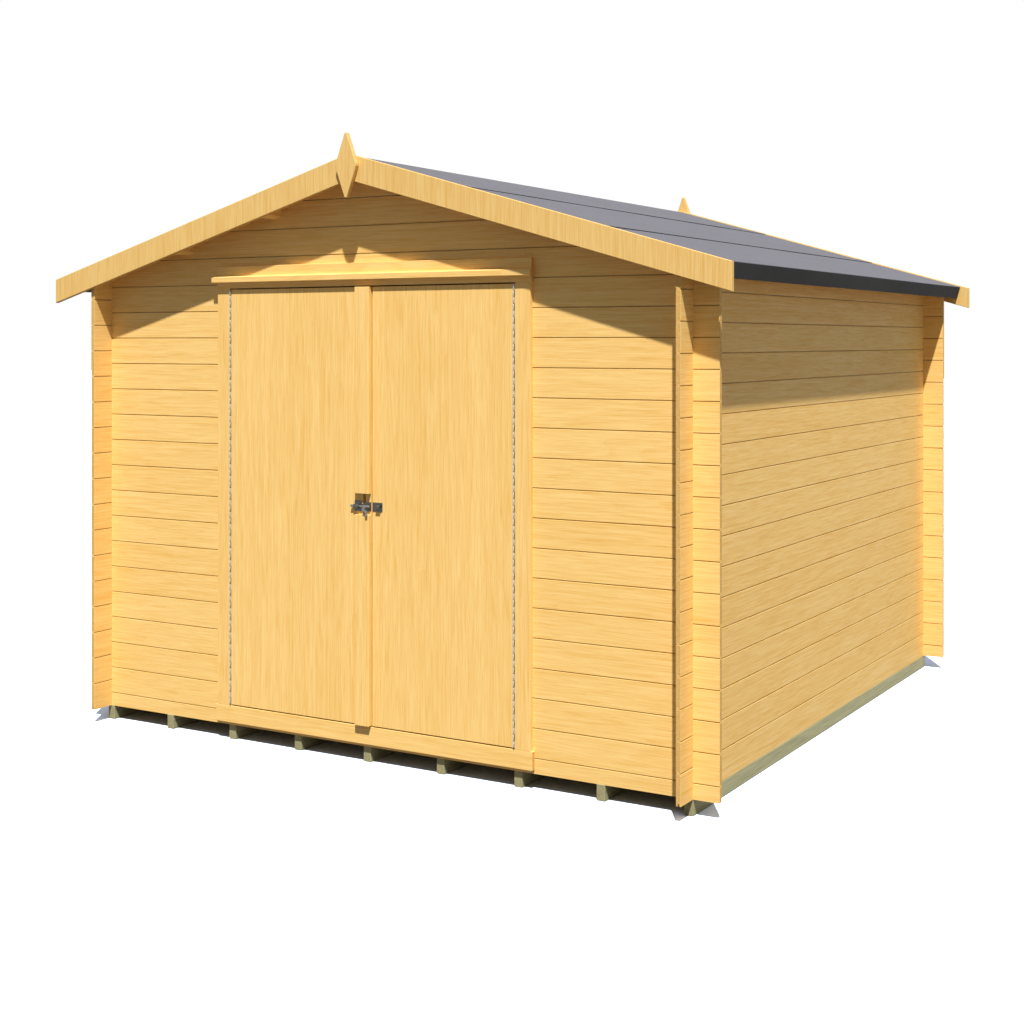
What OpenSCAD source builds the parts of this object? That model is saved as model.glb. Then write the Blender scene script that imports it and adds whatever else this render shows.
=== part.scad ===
// Small interlocking-log cabin with a felted gable roof and a pair of outward-opening doors.
// Millimetres. +Z up, front faces -Y. Origin: on the ground at the centre of the plan.

/* [Walls] */
// Width over the outer faces of the two side walls
cabin_w = 2790; // [2400:10:3600]
// Depth over the outer faces of the front and back walls
cabin_d = 2790; // [2400:10:4200]
// Thickness of one log
log_t = 19; // [16:1:30]
// Height that one log covers
log_h = 110; // [105:1:115]
// Length of the log ends beyond each corner
log_end = 100; // [80:5:130]
// Depth of the V groove at each joint between logs
groove_d = 2; // [1:0.5:3]
// Half height of the V groove at each joint between logs
groove_h = 2.5; // [1:0.5:4]

/* [Base] */
// Number of floor bearers
bearer_count = 9; // [7:1:11]
// Width of a floor bearer
bearer_w = 34; // [24:1:45]
// Height of a floor bearer
bearer_h = 60; // [50:1:70]
// Thickness of the floor boards
floor_t = 19; // [16:1:22]

/* [Roof] */
// Pitch of the roof in degrees
roof_pitch = 15.9; // [14:0.1:18]
// Thickness of the roof boards
roof_board_t = 19; // [16:1:22]
// Thickness of one layer of roofing felt
felt_t = 3; // [2:0.5:4]
// Distance from the middle of the roof to the felted eaves
eaves_reach = 1550; // [1540:5:1560]
// Depth of the felted eaves edge, square to the slope
eaves_drop = 61; // [50:1:70]
// Reach of the roof boards in front of the front wall
roof_overhang = 100; // [85:5:110]
// Thickness of a bargeboard
barge_t = 19; // [16:1:24]
// Upright depth of a bargeboard
barge_depth = 101; // [90:1:110]
// Distance from the middle of the roof to a bargeboard end
barge_reach = 1591; // [1580:1:1620]
// Half width of a finial
finial_half_w = 49; // [40:1:60]
// Half height of a finial
finial_half_h = 124; // [100:1:140]
// Width of a purlin
purlin_w = 40; // [35:1:50]
// Upright depth of a side purlin
purlin_depth = 64; // [55:1:70]

/* [Doors] */
// Width between the two door posts
door_clear_w = 1369; // [1300:1:1400]
// Height of a door leaf
leaf_h = 1706; // [1650:1:1706]
// Thickness of the boards of a door leaf
leaf_t = 19; // [16:1:22]
// Width of a door post seen from the front
post_w = 67.5; // [55:0.5:75]
// Width of the cover strip on the left leaf
strip_w = 68; // [60:1:80]
// Thickness of the cover strip
strip_t = 19; // [16:1:22]
// Travel of the bolt to its closed end
bolt_travel = 38; // [30:1:40]

/* [Hidden] */
$fn = 48;
log_rows = 17;
half_w = cabin_w / 2;
half_d = cabin_d / 2;
log_reach_x = half_w + log_end;
log_reach_y = half_d + log_end;
wall_base = bearer_h;
groove_w = 6;
groove_deep = 8;
over = 1;

// Roof planes, given as their height above the middle of the cabin
slope = tan(roof_pitch);
plumb = 1 / cos(roof_pitch);
wall_shoulder = wall_base + log_rows * log_h + 8;
under_apex = wall_shoulder + half_w * slope;
bearing_gap = 0.1;
board_apex = under_apex + bearing_gap + roof_board_t * plumb;
felt_apex = board_apex + felt_t * plumb;
barge_apex = felt_apex + 5.5;
roof_reach_y = half_d + roof_overhang;
eaves_board_t = 19;
eaves_u = eaves_reach / cos(roof_pitch);
lap_1 = 516;
lap_2 = 1133;
lap_w = 75;
lap_rise = 12;
purlin_x = [451.5, 918];
ridge_purlin_drop = 70;

// Door opening
leaf_gap = 5;
post_x = door_clear_w / 2 + 1.5;
post_out_x = post_x + post_w - 1.5;
log_cut_x = post_x + 33;
face_y = -half_d - 19;
inner_y = -half_d + log_t;
frame_back_y = inner_y + 19;
stop_y = -half_d + 6;
stop_w = 22;
sill_top = 144;
sill_base = 74;
base_log_top = wall_base + log_h / 2;
leaf_base = sill_top + leaf_gap;
leaf_top = leaf_base + leaf_h;
head_base = leaf_top + leaf_gap;
head_cut = head_base + 55;
head_top = head_base + 91;
gable_base = wall_base + 16.5 * log_h;
head_half_w = post_out_x + 5;
sill_half_w = post_out_x + 8;
drip_base = head_base + 24;
drip_half_w = head_half_w + 8;

// Hinges and door leaves
hinge_r = 2.5;
flange_t = 1;
hinge_x = post_x - flange_t - hinge_r;
hinge_y = face_y - 2.5;
pin_r = 1.2;
pin_clear = 0.05;
knuckles = 7;
knuckle_gap = 1;
leaf_out_x = hinge_x - hinge_r - flange_t;
meet_x = strip_w / 2;
meet_gap = 6;
ledge_in = 25;
ledge_w = 95;
ledge_t = 19;
ledge_z = [leaf_base + 110, leaf_base + 805, leaf_base + 1500];
brace_w = 80;

// Bolt
bolt_z = 1001;
bolt_r = 5;
bolt_y = face_y - 9;
guide_r = 8;
plate_t = 2;
notch_base = 969;
notch_top = 1051;
bar_left_x = -57;
bar_right_x = meet_x;
tab_t = 3;
tab_y = face_y - strip_t - 5.5 - tab_t;
keeper_x = bar_right_x + bolt_travel - 8;

// Places a profile of (distance in Y, height) so that it runs along X
module along_x(x0, x1) {
  translate([x0, 0, 0]) rotate([90, 0, 90]) linear_extrude(height = x1 - x0) children();
}

// Places a profile of (X, height) so that it runs along Y
module along_y(y0, y1) {
  translate([0, y1, 0]) rotate([90, 0, 0]) linear_extrude(height = y1 - y0) children();
}

module box(x0, x1, y0, y1, z0, z1) {
  translate([x0, y0, z0]) cube([x1 - x0, y1 - y0, z1 - z0]);
}

// Section through a wall with a V groove on both faces at each joint height
function wall_section(z0, z1, z1_in, joints) = concat(
  [[0, z0]],
  [for (j = joints) each [[0, j - groove_h], [groove_d, j], [0, j + groove_h]]],
  [[0, z1], [log_t, z1_in]],
  [for (i = [len(joints) - 1:-1:0])
    each [
      [log_t, joints[i] + groove_h],
      [log_t - groove_d, joints[i]],
      [log_t, joints[i] - groove_h]
    ]
  ],
  [[log_t, z0]]
);

function side_joints() = [for (n = [1:log_rows - 1]) wall_base + n * log_h];
function front_joints(first, last) = [for (n = [first:last]) wall_base + (n + 0.5) * log_h];

// Quarter-height notches that let the side-wall logs pass through a front or back wall
module front_notches(first, last) {
  for (s = [-1, 1])
    for (n = [first:last])
      translate([
        s * (half_w - log_t / 2) - log_t / 2,
        -half_d - over,
        wall_base + (n + 0.25) * log_h
      ])
        cube([log_t, log_t + 2 * over, log_h / 2]);
}

// Notches that let the front and back logs pass through a side wall
module side_notches() {
  for (s = [-1, 1])
    for (n = [0:log_rows])
      translate([
        -half_w - over,
        s * (half_d - log_t / 2) - log_t / 2,
        wall_base + (n - 0.25) * log_h
      ])
        cube([log_t + 2 * over, log_t, log_h / 2]);
}

// Profile under the roof boards, used to trim the gables
module gable_outline(base, reach) {
  polygon([
    [-reach, base],
    [reach, base],
    [reach, under_apex - reach * slope],
    [0, under_apex],
    [-reach, under_apex - reach * slope]
  ]);
}

module side_purlin_section(x, rise = 0) {
  top_in = under_apex - (x - purlin_w / 2) * slope;
  top_out = under_apex - (x + purlin_w / 2) * slope;
  polygon([
    [x - purlin_w / 2, top_in + rise],
    [x + purlin_w / 2, top_out + rise],
    [x + purlin_w / 2, top_out - purlin_depth],
    [x - purlin_w / 2, top_in - purlin_depth]
  ]);
}

module ridge_purlin_section() {
  polygon([
    [-purlin_w / 2, under_apex - ridge_purlin_drop],
    [purlin_w / 2, under_apex - ridge_purlin_drop],
    [purlin_w / 2, under_apex - slope * purlin_w / 2],
    [0, under_apex],
    [-purlin_w / 2, under_apex - slope * purlin_w / 2]
  ]);
}

// Slots in a gable, open at the top
module purlin_slots() {
  rise = 20;
  box(
    -purlin_w / 2, purlin_w / 2,
    -half_d - 2 * over, -half_d + log_t + 2 * over,
    under_apex - ridge_purlin_drop, under_apex + rise
  );
  for (s = [0, 1])
    mirror([s, 0, 0])
      for (x = purlin_x)
        along_y(-half_d - 2 * over, -half_d + log_t + 2 * over) side_purlin_section(x, rise);
}

// ---- Base ----
module floor_bearers() {
  pitch_x = (cabin_w - bearer_w) / (bearer_count - 1);
  color("darkolivegreen")
    for (n = [0:bearer_count - 1])
      translate([-half_w + n * pitch_x, -half_d, 0])
        cube([bearer_w, cabin_d, bearer_h]);
}

module floor_boards() {
  color("burlywood")
    box(
      -half_w + log_t, half_w - log_t,
      -half_d + log_t, half_d - log_t,
      bearer_h, bearer_h + floor_t
    );
}

// ---- Walls ----
module side_wall() {
  difference() {
    translate([-half_w, 0, 0])
      along_y(-log_reach_y, log_reach_y)
        difference() {
          polygon(wall_section(wall_base, wall_shoulder, wall_shoulder + log_t * slope, side_joints()));
          translate([(log_t - groove_w) / 2, wall_base - over]) square([groove_w, groove_deep + over]);
        }
    side_notches();
  }
}

module left_wall() {
  color("goldenrod") side_wall();
}

module right_wall() {
  color("goldenrod") mirror([1, 0, 0]) side_wall();
}

module front_panel(x0, x1, z0, z1, joints) {
  translate([0, -half_d, 0]) along_x(x0, x1) polygon(wall_section(z0, z1, z1, joints));
}

module front_base_log() {
  color("orange")
    difference() {
      front_panel(-log_reach_x, log_reach_x, wall_base, base_log_top - groove_h, []);
      front_notches(0, 0);
    }
}

module front_side_piece() {
  difference() {
    front_panel(-log_reach_x, -log_cut_x, base_log_top - groove_h, gable_base, front_joints(0, 15));
    front_notches(0, log_rows - 1);
  }
}

module front_wall_left() {
  color("khaki") front_side_piece();
}

module front_wall_right() {
  color("khaki") mirror([1, 0, 0]) front_side_piece();
}

module gable() {
  difference() {
    intersection() {
      front_panel(-log_reach_x, log_reach_x, gable_base, under_apex + over, front_joints(17, 19));
      along_y(-half_d - over, -half_d + log_t + over) gable_outline(gable_base - over, log_reach_x + over);
    }
    front_notches(log_rows - 1, log_rows - 1);
    purlin_slots();
  }
}

module front_gable() {
  color("gold")
    difference() {
      gable();
      box(-log_cut_x, log_cut_x, -half_d - over, inner_y + over, gable_base - over, head_cut);
    }
}

module back_wall() {
  color("khaki")
    mirror([0, 1, 0])
      difference() {
        front_panel(-log_reach_x, log_reach_x, wall_base, gable_base, front_joints(0, 15));
        front_notches(0, log_rows - 1);
      }
}

module back_gable() {
  color("gold") mirror([0, 1, 0]) gable();
}

// ---- Door frame ----
// Plan of one post: front board, neck through the log wall, stop and back board
module post_plan() {
  polygon([
    [post_x, face_y],
    [post_out_x, face_y],
    [post_out_x, -half_d],
    [log_cut_x, -half_d],
    [log_cut_x, inner_y],
    [post_out_x, inner_y],
    [post_out_x, frame_back_y],
    [post_x, frame_back_y],
    [post_x, inner_y],
    [post_x - stop_w, inner_y],
    [post_x - stop_w, stop_y],
    [post_x, stop_y]
  ]);
}

module door_post_left() {
  color("tan") mirror([1, 0, 0]) translate([0, 0, sill_top]) linear_extrude(height = head_base - sill_top) post_plan();
}

module door_post_right() {
  color("tan") translate([0, 0, sill_top]) linear_extrude(height = head_base - sill_top) post_plan();
}

module door_sill() {
  color("peru") {
    along_x(-sill_half_w, sill_half_w)
      polygon([
        [face_y, sill_base],
        [-half_d, sill_base],
        [-half_d, sill_top],
        [face_y, sill_top]
      ]);
    box(-log_cut_x, log_cut_x, -half_d - 0.01, frame_back_y, base_log_top - groove_h, sill_top);
  }
}

module door_head() {
  color("peru") {
    box(-head_half_w, head_half_w, face_y, -half_d, head_base, head_top);
    box(-log_cut_x, log_cut_x, -half_d - 0.01, inner_y + 0.01, head_base, head_cut);
    box(-head_half_w, head_half_w, inner_y, frame_back_y, head_base, head_top);
  }
}

module drip_board() {
  color("sienna")
    along_x(-drip_half_w, drip_half_w)
      polygon([
        [face_y, drip_base],
        [face_y, drip_base + 27],
        [face_y - 24, drip_base + 23],
        [face_y - 24, drip_base]
      ]);
}

// ---- Roof ----
module ridge_purlin() {
  color("wheat") along_y(-roof_reach_y, roof_reach_y) ridge_purlin_section();
}

module side_purlins() {
  color("wheat")
    for (s = [0, 1])
      mirror([s, 0, 0])
        for (x = purlin_x)
          along_y(-roof_reach_y, roof_reach_y) side_purlin_section(x);
}

// Works along the right-hand slope: first value down the slope from the ridge, second square to it
module on_slope() {
  translate([0, felt_apex]) rotate(-roof_pitch) children();
}

module roof_board_section() {
  u_end = eaves_u - felt_t;
  intersection() {
    on_slope()
      translate([-50, -felt_t - roof_board_t]) square([50 + u_end, roof_board_t]);
    square([eaves_reach + 50, board_apex + 50]);
  }
}

module roof_boards_right() {
  color("burlywood") along_y(-roof_reach_y, roof_reach_y) roof_board_section();
}

module roof_boards_left() {
  color("burlywood") mirror([1, 0, 0]) along_y(-roof_reach_y, roof_reach_y) roof_board_section();
}

module eaves_boards() {
  u_end = eaves_u - felt_t;
  v_top = -felt_t - roof_board_t;
  v_end = -eaves_drop + felt_t;
  color("burlywood")
    for (s = [0, 1])
      mirror([s, 0, 0])
        along_y(-roof_reach_y, roof_reach_y)
          on_slope() translate([u_end - eaves_board_t, v_end]) square([eaves_board_t, v_top - v_end]);
}

// One sheet of felt; its lower end steps over the sheet below
module felt_step(u0, u1) {
  polygon([
    [u0, -felt_t],
    [u1 - lap_w - lap_rise, -felt_t],
    [u1 - lap_w, 0],
    [u1, 0],
    [u1, felt_t],
    [u1 - lap_w, felt_t],
    [u1 - lap_w - lap_rise, 0],
    [u0, 0]
  ]);
}

module felt_ridge_half() {
  intersection() {
    on_slope() felt_step(-50, lap_1);
    square([eaves_reach, felt_apex + 50]);
  }
}

module felt_ridge() {
  color("slategray")
    along_y(-roof_reach_y, roof_reach_y) {
      felt_ridge_half();
      mirror([1, 0]) felt_ridge_half();
    }
}

module felt_middle() {
  color("lightslategray")
    for (s = [0, 1])
      mirror([s, 0, 0])
        along_y(-roof_reach_y, roof_reach_y) on_slope() felt_step(lap_1 - lap_w, lap_2);
}

module felt_lower() {
  color("slategray")
    for (s = [0, 1])
      mirror([s, 0, 0])
        along_y(-roof_reach_y, roof_reach_y)
          on_slope()
            polygon([
              [lap_2 - lap_w, -felt_t],
              [eaves_u - felt_t, -felt_t],
              [eaves_u - felt_t, -eaves_drop + felt_t],
              [eaves_u - felt_t - eaves_board_t, -eaves_drop + felt_t],
              [eaves_u - felt_t - eaves_board_t, -eaves_drop],
              [eaves_u, -eaves_drop],
              [eaves_u, 0],
              [lap_2 - lap_w, 0]
            ]);
}

module bargeboard_pair() {
  for (s = [0, 1])
    mirror([0, s, 0])
      along_y(-roof_reach_y - barge_t, -roof_reach_y)
        polygon([
          [0, barge_apex],
          [barge_reach, barge_apex - barge_reach * slope],
          [barge_reach, barge_apex - barge_reach * slope - barge_depth],
          [0, barge_apex - barge_depth]
        ]);
}

module bargeboards_right() {
  color("moccasin") bargeboard_pair();
}

module bargeboards_left() {
  color("moccasin") mirror([1, 0, 0]) bargeboard_pair();
}

module finials() {
  tip = 5;
  mid_z = barge_apex - 46.5;
  rise = finial_half_h;
  color("navajowhite")
    for (s = [0, 1])
      mirror([0, s, 0])
        along_y(-roof_reach_y - 2 * barge_t, -roof_reach_y - barge_t)
          polygon([
            [-tip, mid_z - rise],
            [tip, mid_z - rise],
            [finial_half_w, mid_z - tip],
            [finial_half_w, mid_z + tip],
            [tip, mid_z + rise],
            [-tip, mid_z + rise],
            [-finial_half_w, mid_z + tip],
            [-finial_half_w, mid_z - tip]
          ]);
}

// ---- Hinges, right-hand side; the left is its mirror ----
knuckle_pitch = (leaf_h + knuckle_gap) / knuckles;

module knuckle(n, web_x0, web_x1) {
  z0 = leaf_base + n * knuckle_pitch;
  z1 = z0 + knuckle_pitch - knuckle_gap;
  translate([hinge_x, hinge_y, z0]) cylinder(r = hinge_r, h = z1 - z0);
  box(web_x0, web_x1, hinge_y, face_y + 3, z0, z1);
}

module frame_hinge() {
  box(hinge_x + hinge_r, hinge_x + hinge_r + flange_t, face_y + 1.5, -half_d - 1, leaf_base, leaf_top);
  for (n = [0:2:knuckles - 1])
    knuckle(n, hinge_x + 1, hinge_x + hinge_r + flange_t);
  translate([hinge_x, hinge_y, leaf_base]) cylinder(r = pin_r, h = leaf_h);
}

module leaf_hinge() {
  difference() {
    union() {
      box(hinge_x - hinge_r - flange_t, hinge_x - hinge_r, face_y + 1.5, -half_d - 1, leaf_base, leaf_top);
      for (n = [1:2:knuckles - 2])
        knuckle(n, hinge_x - hinge_r - flange_t, hinge_x - 1);
    }
    translate([hinge_x, hinge_y, leaf_base - over])
      cylinder(r = pin_r + pin_clear, h = leaf_h + 2 * over);
  }
}

module frame_hinge_right() {
  color("silver") frame_hinge();
}

module frame_hinge_left() {
  color("silver") mirror([1, 0, 0]) frame_hinge();
}

module right_door_hinge() {
  color("gray") leaf_hinge();
}

module left_door_hinge() {
  color("gray") mirror([1, 0, 0]) leaf_hinge();
}

// ---- Door leaves ----
// The leaf's edge is rebated behind the hinge flange
module right_door_boards() {
  color("palegoldenrod")
    box(meet_x + meet_gap, leaf_out_x, face_y, face_y + leaf_t, leaf_base, leaf_top);
}

module left_door_boards() {
  color("palegoldenrod")
    box(-leaf_out_x, meet_x, face_y, face_y + leaf_t, leaf_base, leaf_top);
}

module ledges(x0, x1) {
  for (z = ledge_z)
    box(x0, x1, face_y + leaf_t, face_y + leaf_t + ledge_t, z, z + ledge_w);
}

// Two braces, each rising from the hinge side to the free side
module braces(x_hinge, x_free) {
  for (n = [0, 1])
    along_y(face_y + leaf_t, face_y + leaf_t + ledge_t)
      polygon([
        [x_hinge, ledge_z[n] + ledge_w],
        [x_hinge + (x_free > x_hinge ? 1 : -1) * brace_w, ledge_z[n] + ledge_w],
        [x_free, ledge_z[n + 1]],
        [x_free - (x_free > x_hinge ? 1 : -1) * brace_w, ledge_z[n + 1]]
      ]);
}

ledge_out_x = leaf_out_x - ledge_in;

module left_door_ledges() {
  color("darkkhaki") ledges(-ledge_out_x, meet_x - ledge_in);
}

module right_door_ledges() {
  color("darkkhaki") ledges(meet_x + meet_gap + ledge_in, ledge_out_x);
}

module left_door_braces() {
  color("tan") braces(-ledge_out_x + 20, meet_x - ledge_in - 20);
}

module right_door_braces() {
  color("tan") braces(ledge_out_x - 20, meet_x + meet_gap + ledge_in + 20);
}

// Stopped above and below the bolt
module cover_strip() {
  color("wheat") {
    box(-meet_x, meet_x, face_y - strip_t, face_y, leaf_base, notch_base);
    box(-meet_x, meet_x, face_y - strip_t, face_y, notch_top, leaf_top);
  }
}

// ---- Bolt ----
module bolt_loop(x0, x1, bore) {
  translate([x0, bolt_y, bolt_z]) rotate([0, 90, 0]) cylinder(r = guide_r, h = x1 - x0);
  box(x0, x1, bolt_y, face_y - plate_t + 0.5, bolt_z - guide_r, bolt_z + guide_r);
}

module bolt_guide() {
  color("dimgray")
    difference() {
      union() {
        box(-45, -10, face_y - plate_t, face_y, bolt_z - 20, bolt_z + 21);
        box(4, meet_x, face_y - plate_t, face_y, bolt_z - 18, bolt_z + 17);
        box(-12, 6, face_y - plate_t, face_y, bolt_z - 9, bolt_z + 9);
        bolt_loop(-42, -18);
      }
      translate([-50, bolt_y, bolt_z]) rotate([0, 90, 0]) cylinder(r = bolt_r + 0.3, h = 60);
    }
}

// The bar with its handle, cranked forward so that it passes in front of the strip and the keeper
module bolt_bar() {
  crank_x0 = 8;
  crank_x1 = 20;
  tab_x0 = 23;
  tab_x1 = 33;
  color("lightgray") {
    translate([bar_left_x, bolt_y, bolt_z]) rotate([0, 90, 0]) cylinder(r = bolt_r, h = bar_right_x - bar_left_x);
    along_x(crank_x0, crank_x1)
      polygon([
        [bolt_y, bolt_z + 4],
        [tab_y, bolt_z - 8],
        [tab_y, bolt_z - 16],
        [tab_y + tab_t, bolt_z - 16],
        [tab_y + tab_t, bolt_z - 9],
        [bolt_y, bolt_z - 1]
      ]);
    along_y(tab_y, tab_y + tab_t)
      polygon([
        [crank_x0, bolt_z - 9],
        [crank_x0, bolt_z - 16],
        [tab_x0, bolt_z - 22],
        [tab_x0, bolt_z - 36],
        [tab_x1, bolt_z - 36],
        [tab_x1, bolt_z - 16],
        [crank_x1, bolt_z - 9]
      ]);
  }
}

module bolt_keeper() {
  color("dimgray")
    difference() {
      union() {
        box(meet_x + meet_gap + 2, 88, face_y - plate_t, face_y, bolt_z - 18, bolt_z + 17);
        bolt_loop(keeper_x, keeper_x + 20);
      }
      translate([50, bolt_y, bolt_z]) rotate([0, 90, 0]) cylinder(r = bolt_r + 1, h = 60);
    }
}

floor_bearers();
floor_boards();
left_wall();
right_wall();
front_base_log();
front_wall_left();
front_wall_right();
front_gable();
back_wall();
back_gable();
door_sill();
door_post_left();
door_post_right();
door_head();
drip_board();
ridge_purlin();
side_purlins();
roof_boards_left();
roof_boards_right();
eaves_boards();
felt_ridge();
felt_middle();
felt_lower();
bargeboards_left();
bargeboards_right();
finials();
frame_hinge_left();
frame_hinge_right();
left_door_boards();
left_door_ledges();
left_door_braces();
left_door_hinge();
cover_strip();
bolt_guide();
bolt_bar();
right_door_boards();
right_door_ledges();
right_door_braces();
right_door_hinge();
bolt_keeper();
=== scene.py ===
"""Surface build of a small interlocking-log cabin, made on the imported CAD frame."""

import math
import random
from itertools import product

import bmesh
import bpy
from mathutils import Euler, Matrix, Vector, noise


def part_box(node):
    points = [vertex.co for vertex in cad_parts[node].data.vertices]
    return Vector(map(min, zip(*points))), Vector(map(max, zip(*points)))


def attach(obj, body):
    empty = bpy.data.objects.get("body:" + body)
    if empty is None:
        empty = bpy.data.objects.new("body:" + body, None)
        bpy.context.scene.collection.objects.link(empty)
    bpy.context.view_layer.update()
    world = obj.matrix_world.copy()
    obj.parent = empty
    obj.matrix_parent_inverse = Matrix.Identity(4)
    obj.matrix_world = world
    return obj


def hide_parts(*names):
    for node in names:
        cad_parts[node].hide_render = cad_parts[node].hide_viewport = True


bl_info = {
    "name": "Log cabin builder",
    "version": (1, 0, 0),
    "blender": (4, 5, 0),
    "location": "View3D > Sidebar > Cabin",
    "description": "Builds the logs, boards, felt and ironwork of a small log cabin",
    "category": "Object",
}

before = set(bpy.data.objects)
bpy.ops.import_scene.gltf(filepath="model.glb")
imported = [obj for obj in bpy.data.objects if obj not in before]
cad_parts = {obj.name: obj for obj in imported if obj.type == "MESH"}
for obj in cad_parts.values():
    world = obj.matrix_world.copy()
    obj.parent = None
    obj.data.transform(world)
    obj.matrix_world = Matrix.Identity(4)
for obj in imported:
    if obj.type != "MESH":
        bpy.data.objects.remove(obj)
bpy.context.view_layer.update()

CABIN = "cabin"
LEFT_DOOR = "left_door"
RIGHT_DOOR = "right_door"
BOLT = "bolt"

# Places shared by several pieces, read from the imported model
HALF_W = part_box("right_wall")[1].x
HALF_D = -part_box("front_base_log")[0].y
LOG_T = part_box("right_wall")[1].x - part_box("right_wall")[0].x
REACH_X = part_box("front_base_log")[1].x
REACH_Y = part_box("right_wall")[1].y
WALL_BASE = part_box("right_wall")[0].z
LOG_H = 2 * (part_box("front_wall_left")[0].z - WALL_BASE + 0.0025)
ROOF_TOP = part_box("felt_ridge")[1].z
ROOF_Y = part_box("roof_boards_right")[1].y
BARGE_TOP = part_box("bargeboards_right")[1].z
BARGE_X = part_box("bargeboards_right")[1].x
DOORWAY_HALF_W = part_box("front_wall_right")[0].x
HALF_LOG_TOP = WALL_BASE + LOG_H / 2

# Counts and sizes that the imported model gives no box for
END_WALL_LOGS = 16
SIDE_WALL_LOGS = 17
GABLE_LOGS = 5
BEARERS = 9
BEARER_W = 0.034
INNER_PURLIN_X = 0.4315
PURLIN_W, PURLIN_DEPTH = 0.04, 0.064
HEAD_LOG_DEPTH = 0.055
POST_REBATE = 0.022
LEDGE_DEPTH, LEDGE_RISE = 0.095, 0.695
STRIP_NOTCH = (0.969, 1.051)
JOINT_GAP = 0.013
MITRE_GAP = 0.0003
FLANGE_T = 0.001
HINGE_R = 0.0025
SCREW_R = 0.0027
BOARD_T = 0.019


# Sizes and colours that a user may change
# ----
class CabinSizes(bpy.types.PropertyGroup):
    pitch: bpy.props.FloatProperty(
        name="Roof pitch", description="Slope of both sides of the roof",
        default=math.radians(15.9), min=math.radians(10), max=math.radians(30), subtype="ANGLE",
    )
    chamfer: bpy.props.FloatProperty(
        name="Board arris", description="Width of the eased edge on planed boards",
        default=0.0012, min=0.0002, max=0.004, subtype="DISTANCE",
    )
    groove: bpy.props.FloatProperty(
        name="Log groove", description="Depth of the V at each joint between logs",
        default=0.0030, min=0.0005, max=0.004, subtype="DISTANCE",
    )
    door_board: bpy.props.FloatProperty(
        name="Door board", description="Cover width of one upright board in a door leaf",
        default=0.102, min=0.06, max=0.2, subtype="DISTANCE",
    )
    roof_board: bpy.props.FloatProperty(
        name="Roof board", description="Cover width of one board in the roof deck",
        default=0.0961, min=0.06, max=0.2, subtype="DISTANCE",
    )
    floor_board: bpy.props.FloatProperty(
        name="Floor board", description="Cover width of one floor board",
        default=0.0949, min=0.06, max=0.2, subtype="DISTANCE",
    )
    knuckle: bpy.props.FloatProperty(
        name="Hinge knuckle", description="Length of one knuckle of the full-height hinge",
        default=0.0250, min=0.01, max=0.08, subtype="DISTANCE",
    )
    felt_wave: bpy.props.FloatProperty(
        name="Felt unevenness", description="How far the felt lies out of flat",
        default=0.0012, min=0.0, max=0.004, subtype="DISTANCE",
    )


class CabinColours(bpy.types.PropertyGroup):
    pine_pale: bpy.props.FloatVectorProperty(
        name="Pine, early wood", description="Pale bands of the planed pine",
        default=(0.965, 0.670, 0.265), size=3, min=0.0, max=1.0, subtype="COLOR",
    )
    pine_dark: bpy.props.FloatVectorProperty(
        name="Pine, late wood", description="Darker bands of the planed pine",
        default=(0.80, 0.462, 0.110), size=3, min=0.0, max=1.0, subtype="COLOR",
    )
    treated: bpy.props.FloatVectorProperty(
        name="Treated softwood", description="Green-grey of the pressure-treated bearers",
        default=(0.42, 0.405, 0.235), size=3, min=0.0, max=1.0, subtype="COLOR",
    )
    felt: bpy.props.FloatVectorProperty(
        name="Felt face", description="Mineral face of the roofing felt",
        default=(0.120, 0.120, 0.141), size=3, min=0.0, max=1.0, subtype="COLOR",
    )
    felt_edge: bpy.props.FloatVectorProperty(
        name="Felt edge", description="Bitumen of the folded eaves and cut edges",
        default=(0.036, 0.036, 0.038), size=3, min=0.0, max=1.0, subtype="COLOR",
    )
    zinc: bpy.props.FloatVectorProperty(
        name="Zinc plate", description="Plated steel of the hinges and bolt",
        default=(0.44, 0.44, 0.43), size=3, min=0.0, max=1.0, subtype="COLOR",
    )


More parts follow.
